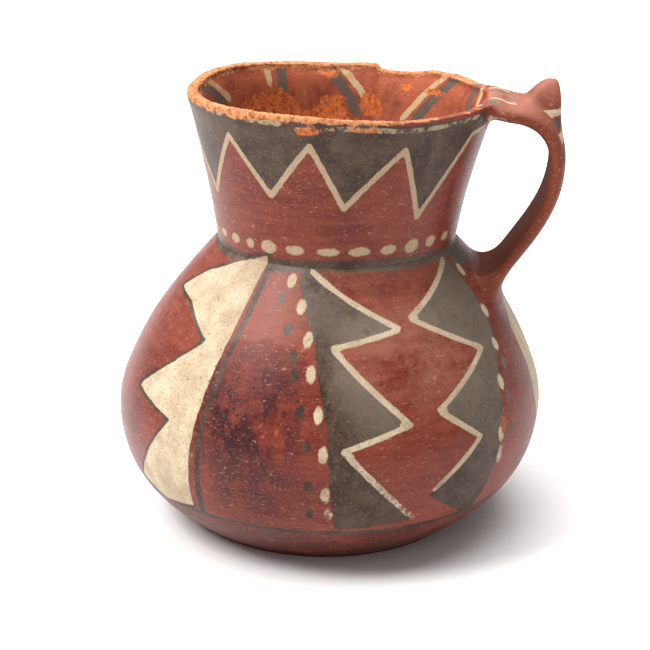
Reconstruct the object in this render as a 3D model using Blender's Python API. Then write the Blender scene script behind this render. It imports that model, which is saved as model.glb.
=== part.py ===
"""A hand-built earthenware jug: a squat round body, a flaring neck with a worn lip,
and a strap handle from the lip to the shoulder with a pointed knob at its upper bend.

The jug is one fired piece of clay, so it is one closed solid. A coarse cage of rings is
built first, the strap is grown out of the cage's own wall faces, and a Subdivision Surface
rounds the whole, so that the strap blends into the wall as a luted clay strap does.
Metres, +Z up. The origin is the middle of the underside, and the handle points along +X.
"""

import math

import bmesh
import bpy
from mathutils import Vector

# The body and neck, outside
foot_radius = 0.0430
belly_radius = 0.0662
belly_height = 0.0370
neck_radius = 0.0366
neck_height = 0.0885
mouth_radius = 0.0469
mouth_height = 0.1331
mouth_lean = 0.0053

# How quickly each stretch of the wall curves, as the power of its formula
foot_fullness = 2.4
shoulder_fullness = 1.62
neck_flare = 1.3

# The clay's thickness
wall = 0.0050
lip_thickness = 0.0046
floor_thickness = 0.0060

# The lip's hand-made wave, highest at wave_peak, and the chip at the back by the handle
lip_wave = 0.0012
wave_peak = math.radians(175)
chip_depth = 0.0024
chip_angle = math.radians(66)
chip_half_angle = math.radians(16)

# The strap handle and its knob
strap_width = 0.0245
strap_edge = 0.0038
strap_crown = 0.0011
strap_reach = 0.0724
strap_bend_height = 0.1145
strap_landing_angle = math.radians(60)
strap_drop = 0.0019
knob_height = 0.0068
knob_swell = 0.0016
knob_tip = 0.0036
knob_reach = 0.0672

# The cage: columns round the jug, and rings up each stretch as shares of its height
columns = 32
strap_columns = 3
under_rings = (0.45, 0.92)
foot_rings = (0.0, 0.08, 0.32, 0.64, 1.0)
shoulder_rings = (0.24, 0.48, 0.67, 0.84, 1.0)
neck_rings = (0.10, 0.34, 0.60, 0.82)
inner_neck_rings = (0.62, 0.20)
inner_shoulder_rings = (0.94, 0.62, 0.30)
inner_foot_rings = (0.95, 0.50, 0.22)
floor_rings = (0.85, 0.45)
landing_ring = 2
upper_stations = (0.09, 0.21, 0.40, 0.63, 0.87)
knob_station = 2
lower_stations = 7
smoothing_levels = 1

clay_colour = (0.33, 0.085, 0.05, 1.0)
clay_roughness = 0.55


def clear_scene():
    for thing in list(bpy.data.objects):
        bpy.data.objects.remove(thing)


def clay_material():
    clay = bpy.data.materials.new("burnished_red_slip")
    clay.use_nodes = True
    shader = clay.node_tree.nodes["Principled BSDF"]
    shader.inputs["Base Color"].default_value = clay_colour
    shader.inputs["Roughness"].default_value = clay_roughness
    shader.inputs["Metallic"].default_value = 0.0
    return clay


def between(low, high, share):
    return low + (high - low) * share


def outer_radius(height):
    """The outside radius of the wall at a height."""
    if height <= belly_height:
        share = height / belly_height
        return between(foot_radius, belly_radius, 1 - (1 - share) ** foot_fullness)
    if height <= neck_height:
        share = (height - belly_height) / (neck_height - belly_height)
        return between(belly_radius, neck_radius, share**shoulder_fullness)
    share = (height - neck_height) / (mouth_height - neck_height)
    return between(neck_radius, mouth_radius, share**neck_flare)


def inner_point(height):
    """Radius and height of the inside wall, one wall thickness in from the outside one."""
    step = wall / 10
    low = max(height - step, 0.0)
    high = min(height + step, mouth_height)
    slope = (outer_radius(high) - outer_radius(low)) / (high - low)
    inward = Vector((-1.0, slope)).normalized() * wall
    return outer_radius(height) + inward.x, max(height + inward.y, floor_thickness)


def wall_profile():
    """(radius, height) of each ring, from the underside up the outside, over the lip and
    down the inside to the floor. The first and last are the middles of underside and floor."""
    heights = [belly_height * share for share in foot_rings]
    heights += [between(belly_height, neck_height, share) for share in shoulder_rings]
    heights += [between(neck_height, mouth_height, share) for share in neck_rings]
    profile = [(0.0, 0.0)] + [(foot_radius * share, 0.0) for share in under_rings]
    profile += [(outer_radius(height), height) for height in heights]
    profile += [
        (mouth_radius, mouth_height - lip_thickness * 0.3),
        (mouth_radius - lip_thickness / 2, mouth_height),
        (mouth_radius - lip_thickness, mouth_height - lip_thickness * 0.3),
    ]
    inner_heights = [between(neck_height, mouth_height, share) for share in inner_neck_rings]
    inner_heights += [between(belly_height, neck_height, share) for share in inner_shoulder_rings]
    inner_heights += [belly_height * share for share in inner_foot_rings]
    profile += [inner_point(height) for height in inner_heights]
    floor_radius = profile[-1][0]
    profile += [(floor_radius * share, floor_thickness) for share in floor_rings]
    return [Vector(point) for point in profile + [(0.0, floor_thickness)]]


def proud(targets):
    """Cage points that a Subdivision Surface pulls back onto the target points, so that the
    sizes above are those of the finished clay."""
    cage = [point.copy() for point in targets]
    for _ in range(6):
        smoothed = [
            (before + point * 4 + after) / 6
            for before, point, after in zip(cage, cage[1:], cage[2:])
        ]
        for point, target, now in zip(cage[1:-1], targets[1:-1], smoothed):
            point += (target - now) * 0.8
            point.x = max(point.x, 0.0)
    return cage


def lean(height):
    """How far the hand-built neck stands off the foot's axis, towards the handle."""
    return mouth_lean * height / mouth_height


def lip_lift(angle):
    """The lip's height above or below its mean: a slow wave, and the chip at the back."""
    away = abs(math.remainder(angle - chip_angle, math.tau)) / chip_half_angle
    return lip_wave * math.cos(angle - wave_peak) - chip_depth * max(0.0, 1.0 - away**4)


def add_ring(cage, radius, height):
    """One ring of the cage. The lip's waves fade out down to the neck. The first column
    starts half a strap off the handle's plane, so that the strap's middle faces +X."""
    fade = max(0.0, (height - neck_height) / (mouth_height - neck_height)) ** 3
    swell = 3 / (2 + math.cos(math.tau / columns))
    ring = []
    for column in range(columns):
        angle = math.tau * (column - strap_columns / 2) / columns
        x = lean(height) + radius * swell * math.cos(angle)
        y = radius * swell * math.sin(angle)
        ring.append(cage.verts.new((x, y, height + fade * lip_lift(angle))))
    return ring


def build_wall(cage):
    """The whole vessel as bands of faces between rings. Returns the rings, outside first."""
    profile = proud(wall_profile())
    rings = [add_ring(cage, point.x, max(point.y, 0.0)) for point in profile[1:-1]]
    for first, second in zip(rings, rings[1:]):
        for column in range(columns):
            after = (column + 1) % columns
            cage.faces.new((first[column], first[after], second[after], second[column]))
    under_centre = cage.verts.new((0.0, 0.0, 0.0))
    floor_centre = cage.verts.new((lean(floor_thickness), 0.0, floor_thickness))
    for column in range(columns):
        after = (column + 1) % columns
        cage.faces.new((under_centre, rings[0][after], rings[0][column]))
        cage.faces.new((rings[-1][column], rings[-1][after], floor_centre))
    return rings


def open_wall(cage, outer_ring, inner_ring):
    """Takes out the faces where the strap joins the wall and returns the opening's edge:
    first the points that carry the strap's outer face, then back along its inner face."""
    outer_side = outer_ring[: strap_columns + 1]
    inner_side = inner_ring[: strap_columns + 1]
    for column in range(strap_columns):
        corners = outer_side[column : column + 2] + inner_side[column : column + 2]
        shared = set.intersection(*(set(corner.link_faces) for corner in corners))
        cage.faces.remove(shared.pop())
    return outer_side + inner_side[::-1]


def bezier(points, share):
    """A point and its direction on a cubic curve through four control points."""
    a, b, c, d = points
    rest = 1.0 - share
    place = a * rest**3 + b * 3 * rest**2 * share + c * 3 * rest * share**2 + d * share**3
    heading = (b - a) * rest**2 + (c - b) * 2 * rest * share + (d - c) * share**2
    return place, heading.normalized()


def strap_line():
    """The strap's middle line in the XZ plane, as two curves: out from the lip to the bend,
    and from the bend down to the shoulder."""
    half = strap_edge / 2
    start_height = mouth_height - strap_drop - half
    start = Vector((lean(start_height) + outer_radius(start_height), start_height))
    bend = Vector((strap_reach - strap_crown - half, strap_bend_height))
    landing_share = (shoulder_rings[landing_ring] + shoulder_rings[landing_ring + 1]) / 2
    landing_height = between(belly_height, neck_height, landing_share)
    end = Vector((lean(landing_height) + outer_radius(landing_height), landing_height))
    out = Vector((bend.x - start.x, 0.0)) * 0.74
    rise = Vector((0.0, start.y - bend.y)) * 0.55
    fall = Vector((0.0, bend.y - end.y)) * 0.43
    arrive = Vector((math.cos(strap_landing_angle), math.sin(strap_landing_angle))) * fall.length
    return (start, start + out, bend + rise, bend), (bend, bend - fall, end + arrive, end)


def strap_station(cage, place, heading, width, crown):
    """One cross-section of the strap, square to its line: a bar with soft edges, whose outer
    face stands out along its middle."""
    outward = Vector((-heading.y, heading.x))
    rounding = 1.12
    station = []
    for side in (0.5, -0.5):
        for column in range(strap_columns + 1):
            across = (column / strap_columns - 0.5) * (1 if side > 0 else -1)
            middle = side > 0 and 0 < column < strap_columns
            lift = strap_edge * rounding * side + (crown if middle else 0.0)
            spot = place + outward * lift
            station.append(cage.verts.new((spot.x, width * rounding * across, spot.y)))
    return station


def build_strap(cage, rings):
    """Grows the strap out of the lip, along its line and into the shoulder."""
    foot_edge = len(under_rings)
    lip_edge = foot_edge + len(foot_rings) + len(shoulder_rings) + len(neck_rings)
    landing = foot_edge + len(foot_rings) + landing_ring
    root = open_wall(cage, rings[lip_edge], rings[lip_edge - 1])
    end = open_wall(cage, rings[landing], rings[landing + 1])
    upper, lower = strap_line()
    root_width = abs(root[0].co.y) * 2
    shares = [(upper, share) for share in upper_stations]
    shares += [(lower, (number + 0.5) / (lower_stations + 0.3)) for number in range(lower_stations)]
    loops = [root]
    for number, (curve, share) in enumerate(shares):
        place, heading = bezier(curve, share)
        near_lip = max(0.0, 1.0 - number / 2)
        near_shoulder = max(0.0, 1.0 - (len(shares) - 1 - number) / 2)
        width = between(strap_width, root_width, 0.5 * max(near_lip, near_shoulder))
        near_knob = max(0.0, 1.0 - abs(number - knob_station + 0.5) / 2)
        crown = strap_crown * (1.0 - near_lip) + knob_swell * near_knob
        loops.append(strap_station(cage, place, heading, width, crown))
    loops.append(end)
    for first, second in zip(loops, loops[1:]):
        for corner in range(len(root)):
            after = (corner + 1) % len(root)
            cage.faces.new((first[corner], first[after], second[after], second[corner]))
    return loops


def build_knob(cage, loops):
    """Pulls the pointed knob up out of the strap's top face at its upper bend."""
    middle = strap_columns // 2
    peak = knob_station + 1
    faces = []
    for first, second in ((loops[peak - 1], loops[peak]), (loops[peak], loops[peak + 1])):
        corners = {first[middle], first[middle + 1], second[middle], second[middle + 1]}
        faces.append(next(face for face in first[middle].link_faces if set(face.verts) == corners))
    tip = Vector((knob_reach, 0.0, mouth_height - strap_drop + knob_height))
    start = sum((face.calc_center_median() for face in faces), Vector()) / len(faces)
    widest = max((vert.co - start).length for face in faces for vert in face.verts)
    for rise, size, flat in ((0.5, 0.8, 0.5), (1.0, knob_tip / widest, 1.0)):
        grown = bmesh.ops.extrude_face_region(cage, geom=faces)["geom"]
        bmesh.ops.delete(cage, geom=faces, context="FACES_ONLY")
        verts = [item for item in grown if isinstance(item, bmesh.types.BMVert)]
        faces = [item for item in grown if isinstance(item, bmesh.types.BMFace)]
        centre = sum((vert.co for vert in verts), Vector()) / len(verts)
        for vert in verts:
            offset = (vert.co - centre) * size
            offset.z *= 1.0 - flat
            vert.co = start.lerp(tip, rise) + offset


def build_jug():
    cage = bmesh.new()
    rings = build_wall(cage)
    loops = build_strap(cage, rings)
    build_knob(cage, loops)
    bmesh.ops.recalc_face_normals(cage, faces=cage.faces)
    mesh = bpy.data.meshes.new("jug")
    cage.to_mesh(mesh)
    cage.free()
    mesh.shade_smooth()
    mesh.materials.append(clay_material())
    jug = bpy.data.objects.new("jug", mesh)
    bpy.context.scene.collection.objects.link(jug)
    smoothing = jug.modifiers.new("rounded_clay", "SUBSURF")
    smoothing.levels = smoothing_levels
    smoothing.render_levels = smoothing_levels


clear_scene()
build_jug()
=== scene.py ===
"""A painted earthenware jug on a pale studio table.

Metres, in the frame of the solid model: +Z up, the handle towards +X, the origin in the
middle of the underside. Motifs are given in degrees round the jug and millimetres up it.
"""

import math

import bmesh
import bpy
import numpy as np
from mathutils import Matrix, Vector, noise


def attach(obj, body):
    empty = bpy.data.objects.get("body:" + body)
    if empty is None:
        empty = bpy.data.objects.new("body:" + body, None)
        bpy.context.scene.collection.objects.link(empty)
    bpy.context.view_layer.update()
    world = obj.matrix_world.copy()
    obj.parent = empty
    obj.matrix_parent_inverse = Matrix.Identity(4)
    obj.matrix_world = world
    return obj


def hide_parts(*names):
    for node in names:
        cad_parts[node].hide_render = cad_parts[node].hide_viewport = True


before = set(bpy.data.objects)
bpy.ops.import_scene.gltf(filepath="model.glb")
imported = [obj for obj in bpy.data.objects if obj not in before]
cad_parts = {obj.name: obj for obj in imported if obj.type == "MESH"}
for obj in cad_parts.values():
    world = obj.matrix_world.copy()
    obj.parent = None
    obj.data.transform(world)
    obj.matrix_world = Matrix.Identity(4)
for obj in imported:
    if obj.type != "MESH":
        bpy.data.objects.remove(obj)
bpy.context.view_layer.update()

# The studio: a pale table that runs on into the backdrop, a soft window light from the
# upper left and white surroundings. The camera stands where the photographer's did.
camera_azimuth = math.radians(6.0)
camera_distance = 0.495
camera_height = 0.231
camera_pitch = math.radians(19.19)
camera_lens = 92.7
camera_sensor = 36.0
camera_near = 0.01
table_size = 6.0
table_colour = (0.86, 0.855, 0.85, 1.0)
table_roughness = 0.8
window_size = 0.45
window_power = 12.5
window_place = Vector((-0.68, -0.40, 0.95))
canopy_size = 2.6
canopy_power = 82.0
canopy_place = Vector((-0.25, 0.35, 1.9))
lights_aim = Vector((0.0, 0.0, 0.06))
surroundings_colour = (1.0, 0.995, 0.99, 1.0)
surroundings_strength = 0.38

camera_data = bpy.data.cameras.new("camera")
camera_data.lens = camera_lens
camera_data.sensor_width = camera_sensor
camera_data.clip_start = camera_near
camera = bpy.data.objects.new("camera", camera_data)
camera.location = (
    camera_distance * math.sin(camera_azimuth),
    -camera_distance * math.cos(camera_azimuth),
    camera_height,
)
camera.rotation_euler = (math.pi / 2 - camera_pitch, 0.0, camera_azimuth)
bpy.context.scene.collection.objects.link(camera)
bpy.context.scene.camera = camera

bpy.ops.object.select_all(action="DESELECT")
bpy.ops.mesh.primitive_plane_add(size=table_size)
table = bpy.context.object
table.name = "table"
table_paper = bpy.data.materials.new("white_paper")
table_paper.use_nodes = True
paper_shader = table_paper.node_tree.nodes["Principled BSDF"]
paper_shader.inputs["Base Color"].default_value = table_colour
paper_shader.inputs["Roughness"].default_value = table_roughness
table.data.materials.append(table_paper)

for name, size, power, place in (
    ("window", window_size, window_power, window_place),
    ("canopy", canopy_size, canopy_power, canopy_place),
):
    light_data = bpy.data.lights.new(name, "AREA")
    light_data.size = size
    light_data.energy = power
    light = bpy.data.objects.new(name, light_data)
    light.location = place
    light.rotation_euler = (lights_aim - place).to_track_quat("-Z", "Y").to_euler()
    bpy.context.scene.collection.objects.link(light)

surroundings = bpy.data.worlds.new("surroundings")
surroundings.use_nodes = True
backdrop = surroundings.node_tree.nodes["Background"]
backdrop.inputs["Color"].default_value = surroundings_colour
backdrop.inputs["Strength"].default_value = surroundings_strength
bpy.context.scene.world = surroundings
bpy.context.scene.view_settings.view_transform = "Standard"

# The body and neck: coarse clay built up by hand from the flat foot, squat and round below,
# drawn in to a sharp crease at the shoulder and flared above it to a thick plain lip. The
# wall is one skin that runs up the outside, over the lip and down the inside to the floor.
foot_radius = 0.0430
belly_radius = 0.0661
belly_height = 0.0370
neck_radius = 0.0366
neck_height = 0.0885
mouth_radius = 0.0469
mouth_height = 0.1331
mouth_lean = 0.0053
foot_fullness = 2.4
shoulder_fullness = 1.62
neck_flare = 1.3
wall = 0.0050
lip_thickness = 0.0046
lip_shoulder = 0.16
floor_thickness = 0.0060
columns = 40
strap_columns = 4
under_rings = (0.50, 0.95)
foot_rings = (0.0, 0.07, 0.27, 0.58, 1.0)
shoulder_rings = (0.24, 0.47, 0.67, 0.84, 0.95, 1.0)
neck_rings = (0.05, 0.25, 0.50, 0.73, 0.88)
inner_neck_rings = (0.80, 0.45, 0.12)
inner_shoulder_rings = (0.90, 0.62, 0.30)
inner_foot_rings = (0.50, 0.22)
floor_rings = (0.82, 0.45)
landing_ring = 2
lip_points = ((0.06, lip_shoulder), (0.50, 0.0), (0.90, 0.12), (1.0, 0.50))
proud_rounds = 6
proud_step = 0.8


def between(low, high, share):
    return low + (high - low) * share


def outer_radius(height):
    if height <= belly_height:
        share = max(height, 0.0) / belly_height
        return between(foot_radius, belly_radius, 1 - (1 - share) ** foot_fullness)
    if height <= neck_height:
        share = (height - belly_height) / (neck_height - belly_height)
        return between(belly_radius, neck_radius, share**shoulder_fullness)
    share = (height - neck_height) / (mouth_height - neck_height)
    return between(neck_radius, mouth_radius, share**neck_flare)


def inner_point(height):
    """Radius and height of the inside, one wall thickness in from the outside."""
    step = wall / 10
    low = max(height - step, 0.0)
    high = min(height + step, mouth_height)
    slope = (outer_radius(high) - outer_radius(low)) / (high - low)
    inward = Vector((-1.0, slope)).normalized() * wall
    return outer_radius(height) + inward.x, max(height + inward.y, floor_thickness)


def lean(height):
    """How far the neck stands off the foot's axis, towards the handle."""
    return mouth_lean * height / mouth_height


def wall_profile():
    heights = [belly_height * share for share in foot_rings]
    heights += [between(belly_height, neck_height, share) for share in shoulder_rings]
    heights += [between(neck_height, mouth_height, share) for share in neck_rings]
    profile = [(foot_radius * share, 0.0) for share in under_rings]
    profile += [(outer_radius(height), height) for height in heights]
    for inset, drop in lip_points:
        profile.append((mouth_radius - lip_thickness * inset, mouth_height - lip_thickness * drop))
    inner_heights = [between(neck_height, mouth_height, share) for share in inner_neck_rings]
    inner_heights += [between(belly_height, neck_height, share) for share in inner_shoulder_rings]
    inner_heights += [belly_height * share for share in inner_foot_rings]
    profile += [inner_point(height) for height in inner_heights]
    floor_radius = profile[-1][0]
    profile += [(floor_radius * share, floor_thickness) for share in floor_rings]
    return [Vector(point) for point in profile]


def proud(targets):
    """Moves each point of a profile out, so that rounding brings the wall back onto it."""
    cage = [point.copy() for point in targets]
    for _ in range(proud_rounds):
        trio = zip(cage, cage[1:], cage[2:])
        rounded = [(before + point * 4 + after) / 6 for before, point, after in trio]
        for point, target, now in zip(cage[1:-1], targets[1:-1], rounded):
            point += (target - now) * proud_step
    return cage


def select_faces(mesh, test):
    """In edit mode: selects only the faces whose centre passes."""
    cage = bmesh.from_edit_mesh(mesh)
    for face in cage.faces:
        face.select = False
    for point in cage.verts:
        point.select = False
    chosen = [face for face in cage.faces if test(face.calc_center_median())]
    for face in chosen:
        face.select = True
    cage.select_flush(True)
    bmesh.update_edit_mesh(mesh)
    return len(chosen)


profile = proud(wall_profile())
column_turn = math.tau / columns
ring_swell = 3 / (2 + math.cos(column_turn))
first_turn = -column_turn * strap_columns / 2
bpy.ops.object.select_all(action="DESELECT")
bpy.ops.mesh.primitive_circle_add(
    vertices=columns,
    radius=profile[0].x * ring_swell,
    fill_type="NGON",
    rotation=(0.0, 0.0, first_turn),
)
jug = bpy.context.object
jug.name = "painted_jug"
bpy.ops.object.transform_apply(location=False, rotation=True, scale=False)
bpy.ops.object.mode_set(mode="EDIT")
bpy.ops.mesh.select_all(action="SELECT")
for lower, upper in zip(profile, profile[1:]):
    shift = (lean(upper.y) - lean(lower.y), 0.0, upper.y - lower.y)
    bpy.ops.mesh.extrude_region_move(TRANSFORM_OT_translate={"value": shift})
    size = upper.x / lower.x
    centre = (lean(upper.y), 0.0, upper.y)
    bpy.ops.transform.resize(value=(size, size, 1.0), center_override=centre)

# The strap handle: a flat bar of clay, luted under the lip and to the shoulder, whose outer
# face is crowned along its middle. A pointed knob was pulled up out of its upper bend.
strap_width = 0.0245
strap_edge = 0.0038
strap_crown = 0.0011
strap_reach = 0.0724
strap_bend_height = 0.1145
strap_landing_angle = math.radians(60)
strap_drop = 0.0019
strap_rounding = 1.12
upper_stations = (0.09, 0.21, 0.40, 0.63, 0.87)
lower_stations = (0.07, 0.21, 0.34, 0.48, 0.62, 0.75, 0.89)
knob_station = 2
strap_flares = (1.36, 1.13, 1.02)
knob_swell = 0.0018
knob_height = 0.0067
knob_tip = 0.0038
knob_reach = 0.0672
out_pull, bend_pull, fall_pull = 0.74, 0.55, 0.43
crown_half = 0.4
crown_middle = 0.1
crown_shoulder = 0.8
first_side_reach = 0.3
strap_parting = 0.33
outside_within = 0.4
knob_foot_outward = Vector((0.4, 0.9))
knob_foot_reach = 1.3
knob_foot_rise = 0.25
knob_foot_half = 0.25
knob_waist = 0.84


def bezier(points, share):
    """A point and its direction on a cubic curve through four control points."""
    a, b, c, d = points
    rest = 1.0 - share
    place = a * rest**3 + b * 3 * rest**2 * share + c * 3 * rest * share**2 + d * share**3
    heading = (b - a) * rest**2 + (c - b) * 2 * rest * share + (d - c) * share**2
    return place, heading.normalized()


def strap_line():
    half = strap_edge / 2
    start_height = mouth_height - strap_drop - half
    start = Vector((lean(start_height) + outer_radius(start_height), start_height))
    bend = Vector((strap_reach - strap_crown - half, strap_bend_height))
    landing_share = (shoulder_rings[landing_ring] + shoulder_rings[landing_ring + 1]) / 2
    landing_height = between(belly_height, neck_height, landing_share)
    end = Vector((lean(landing_height) + outer_radius(landing_height), landing_height))
    out = Vector((bend.x - start.x, 0.0)) * out_pull
    rise = Vector((0.0, start.y - bend.y)) * bend_pull
    fall = Vector((0.0, bend.y - end.y)) * fall_pull
    arrive = Vector((math.cos(strap_landing_angle), math.sin(strap_landing_angle))) * fall.length
    return (start, start + out, bend + rise, bend), (bend, bend - fall, end + arrive, end)


def turned(place):
    """Degrees round the leaning axis, from the handle."""
    return math.degrees(math.atan2(place.y, place.x - lean(place.z)))


def opening(low, high):
    """A test for the outside wall's faces behind the strap, between two heights."""
    half_turn = math.degrees(column_turn) * strap_columns / 2

    def on_outside(place):
        behind = abs(turned(place)) < half_turn and low < place.z < high
        return behind and place.x > lean(place.z) + outer_radius(place.z) - wall * outside_within

    return on_outside


landing_low = between(belly_height, neck_height, shoulder_rings[landing_ring])
landing_high = between(belly_height, neck_height, shoulder_rings[landing_ring + 1])
under_lip = between(neck_height, mouth_height, neck_rings[-1])
lip_side = mouth_height - lip_thickness * lip_shoulder
for low, high in ((landing_low, landing_high), (under_lip, lip_side)):
    select_faces(jug.data, opening(low, high))
    bpy.ops.mesh.delete(type="FACE")

upper_line, lower_line = strap_line()
stations = [bezier(upper_line, share) for share in upper_stations]
stations += [bezier(lower_line, share) for share in lower_stations]
place, heading = stations[0]
cage_width = strap_width * strap_rounding
cage_edge = strap_edge * strap_rounding
bpy.ops.mesh.select_all(action="DESELECT")
bpy.ops.mesh.primitive_grid_add(
    x_subdivisions=strap_columns,
    y_subdivisions=1,
    size=cage_width,
    location=(place.x, 0.0, place.y),
    rotation=(math.pi / 2, 0.0, math.pi / 2),
)
bpy.ops.transform.resize(
    value=(1.0, strap_flares[0], cage_edge / cage_width), center_override=(place.x, 0.0, place.y)
)


def tilt(angle, place):
    """Turns the selected points in the XZ plane, from +X towards +Z, about a place."""
    cage = bmesh.from_edit_mesh(jug.data)
    cos, sin = math.cos(angle), math.sin(angle)
    for point in cage.verts:
        if point.select:
            x, z = point.co.x - place.x, point.co.z - place.y
            point.co.x = place.x + x * cos - z * sin
            point.co.z = place.y + x * sin + z * cos
    bmesh.update_edit_mesh(jug.data)


def raise_crown(place, heading, crown):
    """Lifts the middle of the station that is selected, on its outer side."""
    outward = Vector((-heading.y, 0.0, heading.x))
    cage = bmesh.from_edit_mesh(jug.data)
    centre = Vector((place.x, 0.0, place.y))
    for point in cage.verts:
        off_middle = abs(point.co.y) / cage_width
        if point.select and (point.co - centre).dot(outward) > 0 and off_middle < crown_half:
            share = 1.0 if off_middle < crown_middle else crown_shoulder
            point.co += outward * crown * share
    bmesh.update_edit_mesh(jug.data)


def aim(heading):
    return math.atan2(heading.y, heading.x)


def boundary_between(mesh, low, high):
    """In edit mode: selects the open edges that lie between two heights."""
    cage = bmesh.from_edit_mesh(mesh)
    bpy.ops.mesh.select_all(action="DESELECT")
    for edge in cage.edges:
        if edge.is_boundary and all(low < point.co.z < high for point in edge.verts):
            edge.select = True
    bmesh.update_edit_mesh(mesh)


tilt(aim(heading), place)
flares = list(strap_flares) + [1.0] * (len(stations) - len(strap_flares))
crown = 0.0
for number, (following, direction) in enumerate(stations):
    if number:
        shift = (following.x - place.x, 0.0, following.y - place.y)
        bpy.ops.mesh.extrude_region_move(TRANSFORM_OT_translate={"value": shift})
        tilt(aim(direction) - aim(heading), following)
        flare = flares[number] / flares[number - 1]
        bpy.ops.transform.resize(value=(1.0, flare, 1.0), center_override=(0.0, 0.0, 0.0))
    near_lip = max(0.0, 1.0 - number / 2)
    near_knob = max(0.0, 1.0 - abs(number - knob_station + 0.5) / 2)
    crown_here = strap_crown * (1.0 - near_lip) + knob_swell * near_knob
    place, heading = following, direction
    raise_crown(place, heading, crown_here - crown)
    crown = crown_here
bpy.ops.mesh.delete(type="FACE")
first_place = stations[0][0]


def closes_start(spot):
    return (spot.xz - first_place).length < cage_edge * first_side_reach


if select_faces(jug.data, closes_start):
    bpy.ops.mesh.delete(type="FACE")
parting = between(neck_height, mouth_height, strap_parting)
boundary_between(jug.data, parting, 2 * mouth_height)
bpy.ops.mesh.bridge_edge_loops()
boundary_between(jug.data, floor_thickness, parting)
bpy.ops.mesh.bridge_edge_loops()

knob_places = [bezier(upper_line, upper_stations[number])[0] for number in (1, 2, 3)]
knob_foot = (knob_places[0] + knob_places[2]) / 2
knob_span = (knob_places[0] - knob_places[2]).length / 2


def under_knob(spot):
    near = (spot.xz - knob_foot).length < knob_span * knob_foot_reach
    above = (spot.xz - knob_foot).dot(knob_foot_outward) > cage_edge * knob_foot_rise
    return near and above and abs(spot.y) < cage_width * knob_foot_half


select_faces(jug.data, under_knob)
knob_top = Vector((knob_reach, 0.0, mouth_height - strap_drop + knob_height))
cage = bmesh.from_edit_mesh(jug.data)
foot_points = [point for point in cage.verts if point.select]
knob_start = sum((point.co for point in foot_points), Vector()) / len(foot_points)
knob_wide = max((point.co - knob_start).length for point in foot_points)
half_way = (knob_top - knob_start) / 2
for rung, size, flatness in (
    (knob_start + half_way, knob_waist, 0.5), (knob_top, knob_tip / knob_wide / knob_waist, 0.02),
):
    bpy.ops.mesh.extrude_region_move(TRANSFORM_OT_translate={"value": half_way})
    bpy.ops.transform.resize(value=(size, size, flatness * size), center_override=rung)
bpy.ops.mesh.select_all(action="SELECT")
bpy.ops.mesh.normals_make_consistent(inside=False)
bpy.ops.object.mode_set(mode="OBJECT")

# The lip was levelled by eye, so it rises and falls, and a long flake is gone from its back
# near the handle: degrees from the handle and millimetres of rise, which the relief further
# down lays on. Here the whole skin is rounded.
lip_lifts = (
    (-170, 1.7), (-140, 1.6), (-120, 1.7), (-100, 1.6), (-75, 0.6), (-63, -0.2), (-35, -0.4),
    (0, -0.3), (10, -0.4), (18, -0.6), (28, -1.1), (36, -0.6), (44, -0.3), (56, 0.0), (60, -0.8),
    (64, -1.3), (68, -1.5), (74, -1.6), (79, -1.4), (81.5, 0.4), (88, 0.5), (95, 0.2), (106, 0.7),
    (118, 1.4), (133, 2.2), (141, 2.7), (150, 2.8), (167, 2.3), (178, 1.4),
)
lip_turns, lip_rises = zip(*lip_lifts)
rounding_levels = 3

bpy.ops.object.shade_smooth()
rounding = jug.modifiers.new("rounded_clay", "SUBSURF")
rounding.levels = rounding_levels
rounding.render_levels = rounding_levels
bpy.ops.object.modifier_apply(modifier=rounding.name)

# What each point of the clay knows of its place: degrees round the jug, millimetres of height,
# of depth below the outside and of drop below the lip, and whether it is inside or on the strap.
clay = jug.data
mm = 1000
strap_stands_off, strap_half_turn, strap_lowest = 1.3, 30, 60
strap_root_east, strap_root_height = 0.0485, 120
spots = np.array([point.co[:] for point in clay.vertices])
normals = np.array([point.normal[:] for point in clay.vertices])
axis = lean(spots[:, 2])
turn = np.degrees(np.arctan2(spots[:, 1], spots[:, 0] - axis))
radius = np.hypot(spots[:, 1], spots[:, 0] - axis)
height = spots[:, 2] * mm
rungs = np.linspace(0.0, mouth_height, 500)
rung_radii = np.array([outer_radius(rung) for rung in rungs])
depth = (np.interp(spots[:, 2], rungs, rung_radii) - radius) * mm
inside = (depth > wall * mm / 2) & (height > floor_thickness * mm * 0.9)
strap = (depth < -strap_stands_off) & (np.abs(turn) < strap_half_turn) & (height > strap_lowest)
strap |= (spots[:, 0] > strap_root_east) & (height > strap_root_height)
drop = mouth_height * mm - height

grain_scale, dent_scale = 900, 55
fine_noise = np.array([noise.noise(Vector(spot) * grain_scale) for spot in spots])
wide_noise = np.array([noise.noise(Vector(spot) * dent_scale) for spot in spots])


def wrapped(angle):
    return (angle + 180.0) % 360.0 - 180.0


# The paint: a grey slip and a cream one laid over the red with a soft brush. Motifs are given
# in degrees from the handle and millimetres of height. Each point of the clay learns how far,
# in millimetres, it stands from the strokes, and the material turns that into paint.
arc = radius * mm * math.pi / 180
lengths = np.hypot(np.diff(rung_radii), np.diff(rungs)) * mm
run_up = np.concatenate(([0.0], np.cumsum(lengths)))
run = np.interp(spots[:, 2], rungs, run_up)
away = 40.0
same_gap = 0.01


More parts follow.
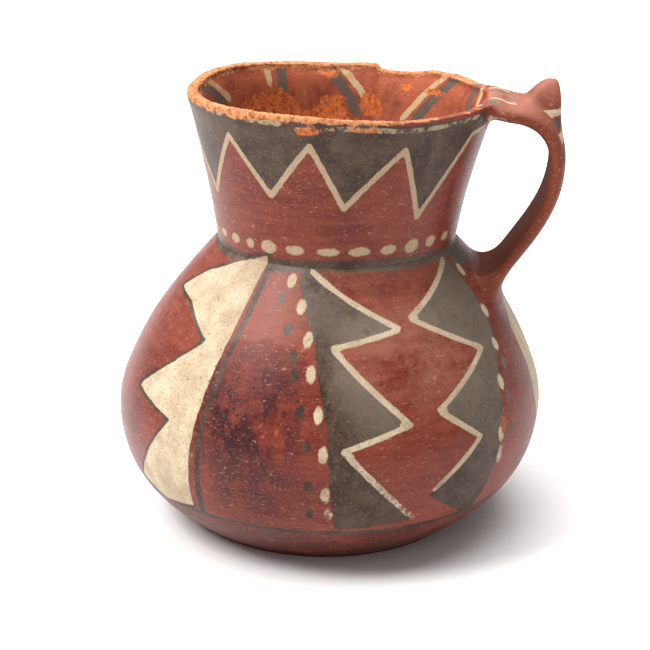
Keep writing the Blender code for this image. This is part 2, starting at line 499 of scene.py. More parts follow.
def from_line(line):
    """Distance to a line of places: signed by the side it is seen from, then plain."""
    plain = np.full(len(spots), away)
    across = np.full(len(spots), away)
    for (turn_a, height_a), (turn_b, height_b) in zip(line, line[1:]):
        ax = wrapped(turn_a - turn) * arc
        ay = np.interp(height_a / mm, rungs, run_up) - run
        ex = (turn_b - turn_a) * arc
        ey = np.interp(height_b / mm, rungs, run_up) - run - ay
        span = np.maximum(ex * ex + ey * ey, 1e-9)
        share = np.clip(-(ax * ex + ay * ey) / span, 0.0, 1.0)
        gap = np.hypot(ax + share * ex, ay + share * ey)
        side = (ex * ay - ey * ax) / np.sqrt(span)
        tied = (gap < plain + same_gap) & (np.abs(side) > np.abs(across))
        closer = (gap < plain - same_gap) | tied
        across = np.where(closer, side, across)
        plain = np.minimum(plain, gap)
    return np.sign(across) * plain, plain


def from_shape(corners):
    """Distance to the edge of a filled shape, negative inside it."""
    rim = list(corners) + [corners[0]]
    within = np.zeros(len(spots), bool)
    base = wrapped(corners[0][0] - turn)
    for (turn_a, height_a), (turn_b, height_b) in zip(rim, rim[1:]):
        if height_a == height_b:
            continue
        share = (height - height_a) / (height_b - height_a)
        cross = base + (turn_a - corners[0][0]) + share * (turn_b - turn_a)
        within ^= ((height_a > height) != (height_b > height)) & (cross > 0)
    plain = from_line(rim)[1]
    return np.where(within, -plain, plain)


def off_dot(turn_at, height_at, wide, tall):
    """How far across and up from a dot's middle, in its own half widths."""
    across = wrapped(turn - turn_at) * arc
    up = run - np.interp(height_at / mm, rungs, run_up)
    return across / wide, up / tall


def from_patch(turn_at, height_at, wide, tall):
    """Distance to the edge of an oval, negative inside it."""
    return (np.hypot(*off_dot(turn_at, height_at, wide, tall)) - 1.0) * min(wide, tall)


class Slip:
    """One colour of slip: the nearest stroke and the nearest filled shape."""

    def __init__(self):
        self.side = np.full(len(spots), away)
        self.far = np.full(len(spots), away)
        self.fill = np.full(len(spots), away)
        self.dot = np.full((3, len(spots)), away)

    def stroke(self, line, width, where):
        """A stroke along a line. A later one only shows where it is nearer in half widths."""
        side, far = from_line(line)
        scale = 2.0 / width
        nearer = where & (far * scale < self.far)
        self.side = np.where(nearer, side * scale, self.side)
        self.far = np.where(nearer, far * scale, self.far)

    def band(self, side, overshoot, where):
        """A straight stroke given by where each point stands across it, in half widths."""
        far = np.maximum(np.abs(side), overshoot + 1.0)
        nearer = where & (far < self.far)
        self.side = np.where(nearer, side, self.side)
        self.far = np.where(nearer, far, self.far)

    def shape(self, gap, where):
        """A filled shape, given by the distance to its edge."""
        self.fill = np.where(where, np.minimum(self.fill, gap), self.fill)

    def spot(self, turn_at, height_at, wide, tall, where):
        """An oval dot, which knows how far across and up each point is."""
        across, up = off_dot(turn_at, height_at, wide, tall)
        reach = np.hypot(across, up)
        nearer = where & (reach < self.dot[2])
        self.dot = np.where(nearer, np.stack([across, up, reach]), self.dot)


cream, grey = Slip(), Slip()
foot_edge, neck_from, body_to = 1.0, 84, 94
outside = ~inside & ~strap & (height > foot_edge)
neck_side = outside & (height > neck_from)
body_side = outside & (height < body_to)

# Round the neck, grey teeth hang from the lip with a cream zigzag along them, over a ring of
# cream dots and a grey line in the crease. Another grey line runs low round the body.
teeth_from, dot_ring_height = 98, 93.6
zigzag_width, crease_width, belt_width = 1.65, 3.5, 1.9
teeth = [
    (-148.5, 106.8), (-130.4, 125.5), (-113.0, 109.5), (-96.1, 125.1), (-82.6, 106.9),
    (-60.8, 124.4), (-49.1, 102.7), (-27.0, 125.5), (0.0, 127.0), (28.0, 125.5),
    (49.0, 104.5), (66.0, 124.0), (81.0, 106.5), (97.0, 125.0), (113.0, 107.5),
    (130.0, 124.6), (146.0, 106.5), (163.0, 125.0), (179.0, 107.5), (195.0, 124.5), (211.5, 106.8),
]
teeth_turns, teeth_heights = zip(*teeth)
past_first = wrapped(turn - teeth_turns[0]) % 360
teeth_edge = np.interp(past_first, np.array(teeth_turns) - teeth_turns[0], teeth_heights)
teeth_gap = from_line(teeth)[1] * np.sign(teeth_edge - height)
grey.shape(teeth_gap, neck_side & (height > teeth_from))
cream.stroke(teeth, zigzag_width, neck_side)
dots = (
    (-149, 1.9, 1.3), (-137.8, 1.9, 1.4), (-127.3, 1.6, 1.4), (-116.7, 2.5, 1.9),
    (-103.3, 2.7, 1.4), (-88, 3.1, 1.3), (-74.3, 3.0, 1.3), (-60.9, 2.4, 1.5),
    (-48.7, 2.5, 2.1), (-37.5, 2.0, 1.7), (-25.7, 2.0, 1.5), (-15.2, 1.7, 1.4),
    (14, 1.9, 1.5), (26, 2.2, 1.5), (38, 2.0, 1.4), (51, 2.6, 1.7), (64, 2.2, 1.5),
    (77, 2.9, 1.4), (90, 2.3, 1.6), (103, 2.6, 1.4), (115, 2.1, 1.7), (127, 2.4, 1.4),
    (139, 2.2, 1.6), (151, 2.6, 1.5), (164, 2.0, 1.4), (176, 2.4, 1.6), (187.5, 2.1, 1.4),
    (199, 2.3, 1.5),
)
for turn_at, wide, tall in dots:
    cream.spot(turn_at, dot_ring_height, wide, tall, neck_side)


def all_round(height_at, waver, period, start):
    """A line round the jug whose height wavers a little."""
    return [
        (step, height_at + waver * math.sin(step / period + start)) for step in range(-180, 181, 6)
    ]


grey.stroke(all_round(88.8, 0.5, 17, 0), crease_width, outside)
grey.stroke(all_round(16.6, 0.6, 23, 1), belt_width, body_side)
strap_root = strap & (spots[:, 0] < 0.046)
grey.shape(from_patch(-15.0, 85.5, 6.0, 2.6), outside | strap_root)

# Down the body hang stepped panels, grey or cream, in facing pairs with a cream line along
# their teeth, and rows of dots between them. The back repeats the front in mirror image. The
# panel under the handle stands alone.
cream_outline_width, cream_side_width, teeth_line_width, handle_outline_width = 2.3, 1.9, 1.7, 1.8
cream_dot, grey_dot, cream_dash, grey_dash = (1.35, 2.4), (1.3, 1.9), (1.3, 2.3), (1.2, 2.0)
cream_panel_left = [
    (-117.6, 90.7), (-133.0, 87.5), (-149.0, 82.5), (-160.3, 75.9), (-145.4, 74.7), (-127.8, 67.4),
    (-149.6, 49.6), (-130.6, 45.2), (-138.5, 33.0), (-146.5, 21.0), (-137.0, 16.5), (-123.2, 19.3),
]
cream_panel_right = [(-122.0, 40.4), (-121.3, 55.0), (-119.2, 72.2)]
cream_panel_line = [
    (-115.4, 88.0), (-116.0, 76.2), (-118.2, 61.0), (-119.3, 47.1), (-119.5, 33.1), (-120.0, 18.0),
]
panel_a = [
    (-94.7, 87.7), (-62.0, 73.5), (-84.6, 69.8), (-63.4, 49.6), (-80.9, 43.8), (-60.7, 19.4),
]
panel_a_left = [(-82.1, 17.5), (-84.0, 33.0), (-85.3, 49.5), (-90.7, 71.1), (-101.3, 88.2)]
panel_b = [
    (-28.4, 86.9), (-57.4, 75.7), (-32.9, 64.2), (-54.6, 51.8), (-42.4, 41.9), (-56.1, 29.3),
]
panel_b_right = [
    (-58.0, 27.7), (-54.6, 24.3), (-43.9, 16.8), (-39.2, 17.7), (-35.5, 35.3), (-31.7, 51.0),
    (-23.4, 68.2), (-22.3, 78.0), (-25.0, 85.6),
]
cream_dots = (
    (-103.0, 85.5), (-96.9, 79.4), (-92.7, 71.7), (-90.6, 63.4), (-87.8, 53.0), (-86.0, 43.0),
    (-85.1, 30.7), (-84.1, 23.7),
)
grey_dots = (
    (-108.8, 88.0), (-105.4, 81.0), (-99.9, 74.0), (-96.6, 67.5), (-95.4, 62.9), (-92.6, 54.1),
    (-90.3, 44.8), (-89.3, 33.2), (-88.9, 24.4),
)
right_dashes = (
    (-20.6, 83.0), (-15.3, 77.4), (-21.9, 71.8), (-25.6, 63.4), (-29.8, 53.6), (-34.4, 40.2),
    (-34.7, 33.0),
)
right_grey = ((-24.8, 57.8), (-28.3, 49.4), (-29.6, 40.0))

for way in (1, -1):

    def laid(line):
        return [(way * turn_at, height_at) for turn_at, height_at in line]

    cream.shape(from_shape(laid(cream_panel_left + cream_panel_right)), body_side)
    grey.stroke(laid(cream_panel_left), cream_outline_width, body_side)
    grey.stroke(laid(cream_panel_line), cream_side_width, body_side)
    for panel, other_side in ((panel_a, panel_a_left), (panel_b, panel_b_right)):
        grey.shape(from_shape(laid(panel + other_side)), body_side)
        cream.stroke(laid(panel), teeth_line_width, body_side)
    for slip, row, size in (
        (cream, cream_dots, cream_dot), (grey, grey_dots, grey_dot),
        (cream, right_dashes, cream_dash), (grey, right_grey, grey_dash),
    ):
        for turn_at, height_at in laid(row):
            slip.spot(turn_at, height_at, *size, body_side)

handle_panel = [
    (-3.4, 69.6), (-10.0, 63.0), (-9.4, 52.0), (-11.7, 43.1), (-8.5, 30.0), (-3.0, 21.0),
    (4.0, 21.5), (8.0, 30.0), (11.0, 43.5), (9.0, 54.0), (9.5, 63.0), (3.5, 70.0),
]
cream.shape(from_shape(handle_panel), body_side)
grey.stroke(handle_panel + handle_panel[:1], handle_outline_width, body_side)

# Inside the mouth the same brush left short strokes in pairs, and the strap carries strokes
# along its top and bars across its outer face. Two thin lines follow the lip.
inner_cream_width, inner_grey_width, lip_line_width = 2.2, 3.4, 1.5
inner_side = inside & (height > 90)
for line in (
    [(170.5, 134.0), (157.1, 125.5)], [(129.4, 135.0), (130.1, 127.8)],
    [(96.8, 133.5), (84.0, 123.0)], [(45.6, 133.0), (63.4, 118.5)],
    [(16.6, 132.0), (7.1, 126.3)], [(-20.0, 133.0), (-31.0, 123.0)],
    [(-62.0, 133.0), (-55.0, 121.0)], [(-101.0, 133.0), (-112.0, 122.0)],
    [(-150.0, 133.0), (-141.0, 122.0)],
):
    cream.stroke(line, inner_cream_width, inner_side)
for line in (
    [(178.5, 134.0), (162.3, 125.0)], [(122.6, 135.0), (124.1, 124.9)],
    [(100.4, 131.5), (88.0, 119.0)], [(39.4, 132.5), (56.5, 118.0)],
    [(24.4, 132.0), (18.7, 124.0)], [(-29.0, 133.0), (-40.0, 123.0)],
    [(-71.0, 133.0), (-64.0, 121.0)], [(-110.0, 133.0), (-121.0, 122.0)],
    [(-159.0, 133.0), (-150.0, 122.0)],
):
    grey.stroke(line, inner_grey_width, inner_side)

upper_side = strap & (normals @ np.array([0.35, 0.0, 0.9]) > -0.1) & (height > 127)
east, north = spots[:, 0] * mm, spots[:, 1] * mm
for slip, left, right, middle, half in (
    (cream, 49.5, 56.5, -6.2, 0.9), (grey, 50.0, 55.5, 2.4, 1.3), (cream, 49.0, 54.8, 9.8, 0.8),
    (grey, 46.0, 51.0, -11.0, 2.2),
):
    across = (north - middle + (east - left) * 0.2) / half
    overshoot = np.maximum(np.maximum(left - east, east - right), 0.0) / half
    slip.band(across, overshoot, upper_side)
edge_left, edge_right, edge_middle, edge_half, edge_slope = 44.0, 54.0, 128.7, 1.2, 0.06
across = (height - edge_middle + (east - 45.0) * edge_slope) / edge_half
overshoot = np.maximum(np.maximum(edge_left - east, east - edge_right), 0.0) / edge_half
cream.band(across, overshoot, strap & (normals[:, 1] < -0.2))
outer_side = strap & (normals[:, 0] > 0.2) & (spots[:, 0] > 0.056)
for slip, middle, half, reach in (
    (cream, 129.4, 1.0, 8.0), (grey, 126.4, 1.3, 9.0), (cream, 122.6, 1.4, 10.0),
    (grey, 117.2, 1.9, 11.0), (cream, 111.5, 1.1, 9.0), (grey, 106.4, 1.5, 10.0),
    (cream, 100.6, 1.1, 8.0), (grey, 95.6, 1.4, 9.0),
):
    across = (height - middle - north * 0.06) / half
    slip.band(across, np.maximum(np.abs(north) - reach, 0.0) / half, outer_side)
for line in (
    [(-152.0, 131.8), (-129.5, 131.1), (-107.0, 130.7)],
    [(-89.0, 130.5), (-77.6, 130.5), (-62.8, 130.2), (-46.8, 130.3), (-28.0, 130.9)],
):
    cream.stroke(line, lip_line_width, neck_side)

# Wear: the lip's crest has lost its slip all round but by the handle, flakes are gone below
# it and inside the mouth, and handling has rubbed the knob and the strap's edges.
lip_bare_turns, lip_bare_widths = zip(
    (-180, 1.9), (-150, 2.0), (-120, 2.0), (-95, 1.8), (-80, 1.4), (-60, 0.5), (-45, -0.2),
    (-20, -0.7), (0, -1.0), (20, 0.0), (45, 0.7), (60, 1.2), (80, 1.4), (100, 1.6), (140, 1.6),
    (180, 1.8),
)
teeth_below_lip, inside_bares_more = 1.3, 1.1
edge_faces, edge_rub_slope, edge_rub_start = 0.75, 7.0, 1.3
upper_edge_from, upper_edge_rub = 112, 0.5
knob_rub_slope, knob_rub_reach = 0.40, 0.5
lift = np.interp(turn, lip_turns, lip_rises, period=360)
grey.fill = np.where(neck_side, np.maximum(grey.fill, teeth_below_lip - drop), grey.fill)
lip_bare = np.interp(turn, lip_bare_turns, lip_bare_widths)
bare = drop - lip_bare * np.where(inside, inside_bares_more, 1.0)
rubbed = np.linalg.norm(spots - np.array(knob_top), axis=1) * mm
edge_rub = np.abs(normals[:, 1] + edge_faces) * edge_rub_slope + edge_rub_start
edge_rub -= np.where(height > upper_edge_from, upper_edge_rub, 0.0)
bare = np.where(strap, np.minimum(edge_rub, rubbed * knob_rub_slope - knob_rub_reach), bare)
for turn_at, height_at, wide, tall, where in (
    (-96, 129.5, 2.6, 0.8, outside), (-81, 130.5, 4.4, 0.3, outside),
    (-32.7, 42.3, 2.0, 2.5, outside), (-12, 60, 1.0, 1.2, outside),
    (152, 130.5, 4.0, 1.2, outside), (40, 130, 3.0, 1.2, outside),
    (131, 121.8, 9.5, 3.6, inner_side),
    (148, 119.0, 5.0, 3.5, inner_side), (100, 121.6, 3.6, 2.4, inner_side),
    (81, 121.0, 3.8, 4.0, inner_side), (102, 130.6, 4.2, 1.8, inner_side),
    (64.5, 128.0, 3.2, 1.3, inner_side), (47, 127.2, 3.4, 0.9, inner_side),
    (112, 116.5, 14.0, 2.5, inner_side), (-40, 121.0, 6.0, 3.0, inner_side),
    (-120, 118.0, 7.0, 4.0, inner_side),
):
    bare = np.minimum(bare, np.where(where, from_patch(turn_at, height_at, wide, tall), away))

# Smoke clouds darken the clay, and painted shade darkens it low on the foot. Dust lightens it where
# it was handled, and painted sheen lightens the upward faces of the shoulder and the strap and a
# patch of the shoulder towards the handle. They share one value, which is positive for smoke and
# shade and negative for dust and sheen.
smoke_shade_and_sheen = np.zeros(len(spots))
foot_shade_to, foot_painted_shade = 15.5, 0.55
for turn_at, height_at, wide, tall, strength in (
    (-107, 50, 18, 19, 1.15), (-104, 33, 16, 11, 0.8), (-150, 40, 8, 10, 0.5),
    (-72, 60, 6, 6, 0.35), (-30, 100, 2.0, 9, 0.7), (-75, 36, 5, 8, 0.4),
    (60, 50, 16, 12, 0.8), (165, 60, 12, 16, 0.7),
):
    reach = np.hypot(*off_dot(turn_at, height_at, wide, tall))
    smoke_shade_and_sheen = np.maximum(smoke_shade_and_sheen, np.where(outside, strength * np.exp(-reach * reach), 0.0))
# Painted shade: the clay below the belt line is darkened as the shaded foot.
smoke_shade_and_sheen = np.maximum(smoke_shade_and_sheen, np.where(outside & (height < foot_shade_to), foot_painted_shade, 0.0))
knob_dust, knob_dust_reach = 0.9, 9.0
belly_dust_and_sheen, belly_dust_and_sheen_turn, belly_dust_and_sheen_height = 0.75, (-58.0, 30.0), (68.0, 17.0)
# Painted sheen with dust: the strap's and the shoulder's upward faces are lightened the more they
# face up, and so is a patch of the shoulder towards the handle.
dusty_and_sheen = np.clip(normals[:, 2] - 0.2, 0.0, 0.8) * strap
dusty_and_sheen = np.maximum(dusty_and_sheen, knob_dust * strap * np.exp(-((rubbed / knob_dust_reach) ** 2)))
shoulder_side = outside & (height > 40) & (height < 90)
dusty_and_sheen = np.maximum(dusty_and_sheen, np.clip((normals[:, 2] - 0.42) * 1.5, 0.0, 0.4) * shoulder_side)
turns_off = (turn - belly_dust_and_sheen_turn[0]) / belly_dust_and_sheen_turn[1]
heights_off = (height - belly_dust_and_sheen_height[0]) / belly_dust_and_sheen_height[1]
fading = np.exp(-(turns_off**2)) * np.exp(-(heights_off**2))
dusty_and_sheen = np.maximum(dusty_and_sheen, belly_dust_and_sheen * fading * outside)
smoke_shade_and_sheen = np.where(dusty_and_sheen > smoke_shade_and_sheen, -dusty_and_sheen, smoke_shade_and_sheen)

# All of it goes to the material as values on the clay's points. The last one tells how matt the
# surface is and also paints light and shade: it is high deep inside the body, where it paints
# shade, and on the strap's underside, whose bare clay is dark, where it adds painted shade; it is
# negative inside the mouth, where the slips are painted lighter.
under_strap = strap & (height < 131) & (normals[:, 0] < 0.25) & (np.abs(normals[:, 1]) < 0.7)
mouth_from = 108
matt_and_shade_inside, matt_and_light_mouth, matt_strap, matt_and_shade_under_strap, matt_foot = 1.0, -0.5, 0.3, 0.85, 0.4
matt_and_painted_light = np.where(strap, matt_strap, 0.0)
matt_and_painted_light = np.where(inside, np.where(height < mouth_from, matt_and_shade_inside, matt_and_light_mouth), matt_and_painted_light)
matt_and_painted_light = np.where(under_strap, matt_and_shade_under_strap, matt_and_painted_light)
matt_and_painted_light = np.where(height < foot_edge, matt_foot, matt_and_painted_light)
painted = [("wear_and_painted_light", np.stack([bare, smoke_shade_and_sheen, matt_and_painted_light], axis=1))]
for name, slip in (("cream", cream), ("grey", grey)):
    painted.append((name, np.stack([slip.side, slip.far, slip.fill], axis=1)))
    painted.append((name + "_dots", slip.dot.T))
for name, values in painted:
    layer = clay.attributes.new(name=name, type="FLOAT_VECTOR", domain="POINT")
    layer.data.foreach_set("vector", values.astype(np.float32).ravel())

# The surface gives way inwards only, so the jug keeps its size: broad dents everywhere, and
# coarse grain where the slip is gone. The lip goes up and down with its own unevenness, which
# fades out down the neck and towards the handle.
dent_depth, grain_depth = 0.00035, 0.00032
strap_clear, lift_ends, lift_fades, foot_kept = 0.050, 0.052, 0.006, 0.5
lifted = np.where(strap & (spots[:, 0] > strap_clear), 0.0, 1.0) * (height > neck_height * mm)
share = np.clip((height / mm - neck_height) / (mouth_height - neck_height), 0.0, 1.1)
by_handle = np.clip((lift_ends - spots[:, 0]) / lift_fades, 0.0, 1.0)
spots[:, 2] += lifted * by_handle * share**3 * lift / mm
open_clay = np.clip(0.5 - bare / 0.8, 0.0, 1.0)
give = dent_depth * (0.5 + 0.5 * wide_noise) + grain_depth * open_clay * (0.5 + fine_noise)
give = np.maximum(give, 0.0) * (height > foot_kept)
spots -= normals * give[:, None]
spots[:, 2] = np.maximum(spots[:, 2], 0.0)
clay.vertices.foreach_set("co", spots.astype(np.float32).ravel())
clay.update()

# The clay and its slips, one material: red slip with burnishing streaks and smoke clouds,
# grey and cream brushed over it and worn through in specks, bare orange clay where it broke.
paint = bpy.data.materials.new("painted_clay")
paint.use_nodes = True
nodes, links = paint.node_tree.nodes, paint.node_tree.links
shader = nodes["Principled BSDF"]


def node(kind, *sources, **settings):
    """A shader node with its inputs in order: sockets are linked and values are set."""
    made = nodes.new("ShaderNode" + kind)
    for name, value in settings.items():
        setattr(made, name, value)
    for number, source in enumerate(sources):
        if isinstance(source, bpy.types.NodeSocket):
            links.new(source, made.inputs[number])
        elif source is not None:
            made.inputs[number].default_value = source
    return made.outputs[0]


def grain(scale, detail=3.0, rough=0.55, stretch=None):
    """Noise fixed to the clay, at a scale and if need be stretched."""
    place = coords if stretch is None else node("VectorMath", coords, stretch, operation="MULTIPLY")
    return node("TexNoise", place, None, scale, detail, rough)


def ramp(value, low, high, start=0.0, end=1.0):
    """A soft step from one level to another as a value goes from low to high."""
    return node("MapRange", value, low, high, start, end, interpolation_type="SMOOTHSTEP")


def mix(share, first, second):
    return node("MixRGB", share, first, second)


def times(first, second):
    return node("Math", first, second, operation="MULTIPLY")


def less(first, second):
    return node("Math", first, second, operation="SUBTRACT")


def larger(first, second):
    return node("Math", first, second, operation="MAXIMUM")


def parts(name):
    """The three values of one painted layer."""
    attribute = nodes.new("ShaderNodeAttribute")
    attribute.attribute_name = name
    split = nodes.new("ShaderNodeSeparateXYZ")
    links.new(attribute.outputs["Vector"], split.inputs[0])
    return split.outputs


coords = nodes.new("ShaderNodeTexCoord").outputs["Object"]
soft = grain(260.0)
sharp = grain(1300.0, 4.0, 0.6)
wobble = less(node("Math", soft, sharp, operation="ADD"), 1.0)
stroke_ends_at, dot_ends_at = 1.35, 1.3


def covered(name, waver, blur, worn_from, worn_to):
    """Where a slip lies: inside its strokes and shapes, less the specks worn out of it."""
    side, far, fill = parts(name)
    stroke = less(node("Math", side, operation="ABSOLUTE"), 1.0)
    stroke = larger(stroke, less(far, stroke_ends_at))
    across, up, reach = parts(name + "_dots")
    square = times(across, across)
    square = node("Math", up, up, square, operation="MULTIPLY_ADD")
    dot = less(node("Math", square, operation="SQRT"), 1.0)
    dot = larger(dot, less(reach, dot_ends_at))
    gap = node("Math", stroke, node("Math", fill, dot, operation="MINIMUM"), operation="MINIMUM")
    gap = node("Math", wobble, waver, gap, operation="MULTIPLY_ADD")
    laid = ramp(gap, blur, -blur)
    return times(laid, ramp(grain(1700.0, 5.0, 0.7), worn_from, worn_to))


def laid_over(tone, layers):
    """A tone with thin layers of colour over it, each with its share, from first to last."""
    for share, colour in layers:
        tone = mix(share, tone, colour)
    return tone


bare_gap, smoke_shade_and_sheen_share, matt_and_painted_light = parts("wear_and_painted_light")
broad = grain(24.0, 5.0, 0.65)
streaks = grain(70.0, 6.0, 0.7, (1.0, 1.0, 8.0))
scuffs = grain(1300.0, 6.0, 0.8)
specks = grain(2300.0, 3.0, 0.6)
scratches = grain(190.0, 5.0, 0.75, (1.0, 1.0, 12.0))
slanting = grain(230.0, 5.0, 0.75, (4.5, 1.0, 1.0))
flames = grain(95.0, 5.0, 0.7, (1.3, 1.3, 0.8))
chalky = grain(420.0, 6.0, 0.85)
to_handle = node("SeparateXYZ", coords)
up_jug = to_handle.node.outputs["Z"]

# Inside the mouth the red and the grey are painted lighter, and the red more orange, as painted
# light against the shade there; the red also has orange patches.
within = ramp(matt_and_painted_light, -0.2, -0.45)
clear_of_handle = ramp(to_handle, 0.0470, 0.0445)
smoke_and_foot_shade = times(smoke_shade_and_sheen_share, ramp(flames, 0.40, 0.56, 0.25, 1.15))
flushed = times(smoke_shade_and_sheen_share, ramp(flames, 0.38, 0.28))
mouth_light_and_patches = times(within, ramp(flames, 0.36, 0.58, 0.25, 0.85))
dust_and_sheen = times(ramp(smoke_shade_and_sheen_share, 0.0, -0.8), ramp(grain(55.0, 5.0, 0.7), 0.35, 0.6))
flecks = times(ramp(grain(850.0, 2.0, 0.5, (0.7, 0.7, 1.7)), 0.63, 0.69), ramp(flames, 0.42, 0.56))
# Painted light: the grey is lighter on the shoulder towards the handle, in patches.
grey_painted_light = times(ramp(to_handle, 0.008, 0.028), ramp(up_jug, 0.030, 0.055))
grey_painted_light = times(grey_painted_light, ramp(up_jug, 0.092, 0.085, 0.0, 0.75))
grey_painted_light = times(grey_painted_light, ramp(chalky, 0.35, 0.58, 0.55, 1.0))
handled = times(less(ramp(up_jug, 0.084, 0.091, 0.0, 0.7), within), clear_of_handle)
dulled = times(less(ramp(up_jug, 0.1275, 0.1290, 0.0, 0.7), within), clear_of_handle)

red = mix(ramp(broad, 0.36, 0.66), (0.110, 0.014, 0.008, 1.0), (0.185, 0.031, 0.017, 1.0))
red = laid_over(red, (
    (ramp(streaks, 0.40, 0.72, 0.0, 0.7), (0.235, 0.050, 0.029, 1.0)),
    (ramp(streaks, 0.44, 0.26, 0.0, 0.7), (0.075, 0.013, 0.010, 1.0)),
    # Smoke clouds, and painted shade on the foot.
    (smoke_and_foot_shade, (0.036, 0.009, 0.011, 1.0)),
    (flushed, (0.34, 0.080, 0.036, 1.0)),
    (ramp(matt_and_painted_light, 0.10, 0.28, 0.0, 0.4), (0.205, 0.052, 0.020, 1.0)),
    # Painted light inside the mouth, stronger in orange patches.
    (mouth_light_and_patches, (0.36, 0.085, 0.034, 1.0)),
    # Dust and painted sheen on the upward faces.
    (times(dust_and_sheen, 0.45), (0.43, 0.18, 0.12, 1.0)),
    (ramp(scratches, 0.60, 0.72, 0.0, 0.5), (0.40, 0.16, 0.11, 1.0)),
    (ramp(slanting, 0.62, 0.74, 0.0, 0.4), (0.40, 0.17, 0.12, 1.0)),
    (ramp(scuffs, 0.55, 0.70, 0.0, 0.8), (0.42, 0.155, 0.095, 1.0)),
    (times(flecks, 0.45), (0.46, 0.22, 0.155, 1.0)),
    (ramp(chalky, 0.60, 0.72, 0.0, 0.55), (0.46, 0.23, 0.17, 1.0)),
    (ramp(chalky, 0.40, 0.28, 0.0, 0.5), (0.055, 0.012, 0.010, 1.0)),
    (ramp(scuffs, 0.42, 0.28, 0.0, 0.75), (0.045, 0.011, 0.010, 1.0)),
))
brushed = grain(130.0, 6.0, 0.7)
grey_tone = mix(ramp(brushed, 0.36, 0.66), (0.030, 0.016, 0.010, 1.0), (0.074, 0.047, 0.032, 1.0))
grey_tone = laid_over(grey_tone, (
    # Dust and painted sheen on the upward faces.
    (times(dust_and_sheen, 0.75), (0.27, 0.215, 0.17, 1.0)),
    # Painted light on the grey towards the handle.
    (grey_painted_light, (0.150, 0.122, 0.092, 1.0)),
    (ramp(scuffs, 0.54, 0.70, 0.0, 0.65), (0.27, 0.195, 0.145, 1.0)),
    (ramp(scratches, 0.58, 0.72, 0.0, 0.4), (0.24, 0.18, 0.14, 1.0)),
    (ramp(scuffs, 0.42, 0.28, 0.0, 0.6), (0.020, 0.012, 0.010, 1.0)),
    # Painted light: the grey inside the mouth is lighter.
    (times(within, 0.45), (0.155, 0.115, 0.09, 1.0)),
))
cream_tone = mix(ramp(brushed, 0.34, 0.66), (0.40, 0.305, 0.195, 1.0), (0.56, 0.452, 0.315, 1.0))
cream_tone = laid_over(cream_tone, (
    (ramp(scuffs, 0.50, 0.30, 0.0, 0.75), (0.25, 0.165, 0.10, 1.0)),
    (ramp(slanting, 0.38, 0.30, 0.0, 0.8), (0.17, 0.115, 0.075, 1.0)),
    (times(within, 0.8), (0.50, 0.34, 0.17, 1.0)),
    (larger(handled, 0.0), (0.35, 0.24, 0.145, 1.0)),
    (larger(dulled, 0.0), (0.30, 0.245, 0.14, 1.0)),
))
# The bare clay is paler on the lip's crest, partly from weathering and partly as painted light from
# above; its orange is painted lighter against the shade inside the mouth.
ember = mix(ramp(up_jug, 0.1290, 0.1322), (0.62, 0.150, 0.040, 1.0), (0.60, 0.255, 0.110, 1.0))
ember = mix(ramp(to_handle, 0.050, 0.054), ember, (0.40, 0.125, 0.060, 1.0))
bare_tone = mix(ramp(grain(600.0, 6.0, 0.8), 0.34, 0.58), (0.20, 0.042, 0.012, 1.0), ember)
bare_tone = laid_over(bare_tone, (
    (ramp(specks, 0.62, 0.72, 0.0, 0.6), (0.72, 0.50, 0.30, 1.0)),
    (ramp(specks, 0.38, 0.30, 0.0, 0.7), (0.075, 0.022, 0.012, 1.0)),
))

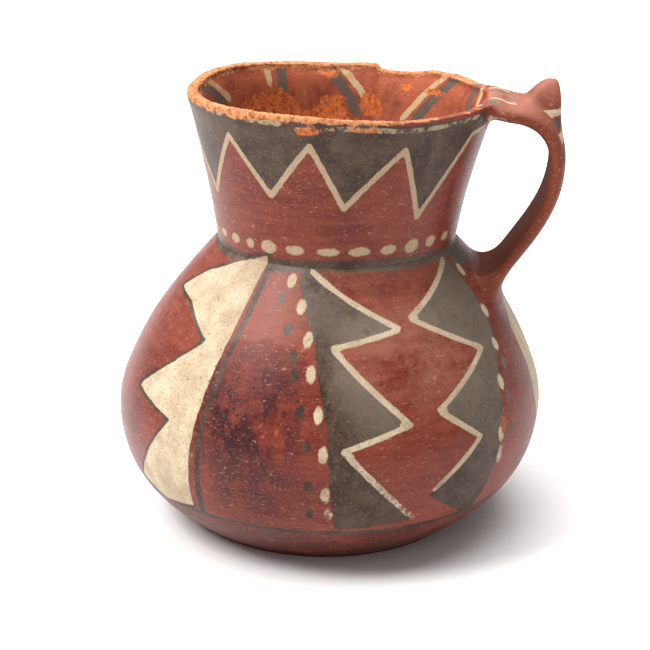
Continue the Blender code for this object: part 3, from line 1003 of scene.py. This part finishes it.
# Where the slips lie and where they are worn through: at the lip, at the front of the strap's
# upper end and low on the belly the cream is rubbed off in patches.
grey_share = times(covered("grey", 0.70, 0.16, 0.24, 0.33), 0.96)
cream_share = covered("cream", 0.85, 0.16, 0.33, 0.43)
lip_rub = times(ramp(up_jug, 0.1275, 0.1290), clear_of_handle)
lip_rub = times(lip_rub, ramp(within, 0.0, 1.0, 1.0, 0.35))
root_front = times(ramp(to_handle, 0.0445, 0.0470), ramp(up_jug, 0.1310, 0.1300))
root_front = times(root_front, ramp(to_handle, 0.0560, 0.0550, 0.0, 0.8))
root_front = times(root_front, ramp(up_jug, 0.1235, 0.1250))
low_rub = times(ramp(up_jug, 0.038, 0.022, 0.0, 0.9), ramp(to_handle, -0.020, -0.010))
rubbing = larger(node("Math", lip_rub, root_front, operation="ADD"), low_rub)
worn_through = times(rubbing, ramp(grain(330.0, 6.0, 0.75), 0.56, 0.46))
cream_share = larger(less(cream_share, worn_through), 0.0)
ragged = less(grain(210.0, 5.0, 0.7), 0.5)
bare_edge = node("Math", ragged, 6.0, bare_gap, operation="MULTIPLY_ADD")
bare_share = ramp(bare_edge, 0.25, -0.25)
colour = laid_over(red, (
    (grey_share, grey_tone), (cream_share, cream_tone), (bare_share, bare_tone),
    # Painted shade: dark brown deep inside the body and on the strap's underside.
    (ramp(matt_and_painted_light, 0.55, 1.0, 0.0, 0.8), (0.15, 0.042, 0.016, 1.0)),
))
links.new(colour, shader.inputs["Base Color"])

# The shine: the burnished red has some, the slips less and bare clay none. A fine tooth lies
# all over, and it is coarser where the slip is gone.
grey_rough, cream_rough, bare_rough = 0.42, 0.60, 0.92
slip_specular = 0.2
tooth_depth, tooth_on_slip, tooth_on_clay = 0.0004, 0.16, 0.55
rough = node("Math", ramp(streaks, 0.3, 0.7), 0.12, 0.30, operation="MULTIPLY_ADD")
rough = node("Mix", grey_share, None, rough, grey_rough)
rough = node("Mix", cream_share, None, rough, cream_rough)
rough = node("Mix", bare_share, None, rough, bare_rough)
rough = node("Mix", node("Math", matt_and_painted_light, operation="ABSOLUTE"), None, rough, 1.0)
links.new(rough, shader.inputs["Roughness"])
shader.inputs["Specular IOR Level"].default_value = slip_specular
tooth = node("Math", grain(2600.0, 3.0, 0.6), grain(420.0, 3.0), operation="ADD")
bump = nodes.new("ShaderNodeBump")
bump.inputs["Distance"].default_value = tooth_depth
links.new(node("Mix", bare_share, None, tooth_on_slip, tooth_on_clay), bump.inputs["Strength"])
links.new(tooth, bump.inputs["Height"])
links.new(bump.outputs["Normal"], shader.inputs["Normal"])
clay.materials.append(paint)

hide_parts("jug")
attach(jug, "root")
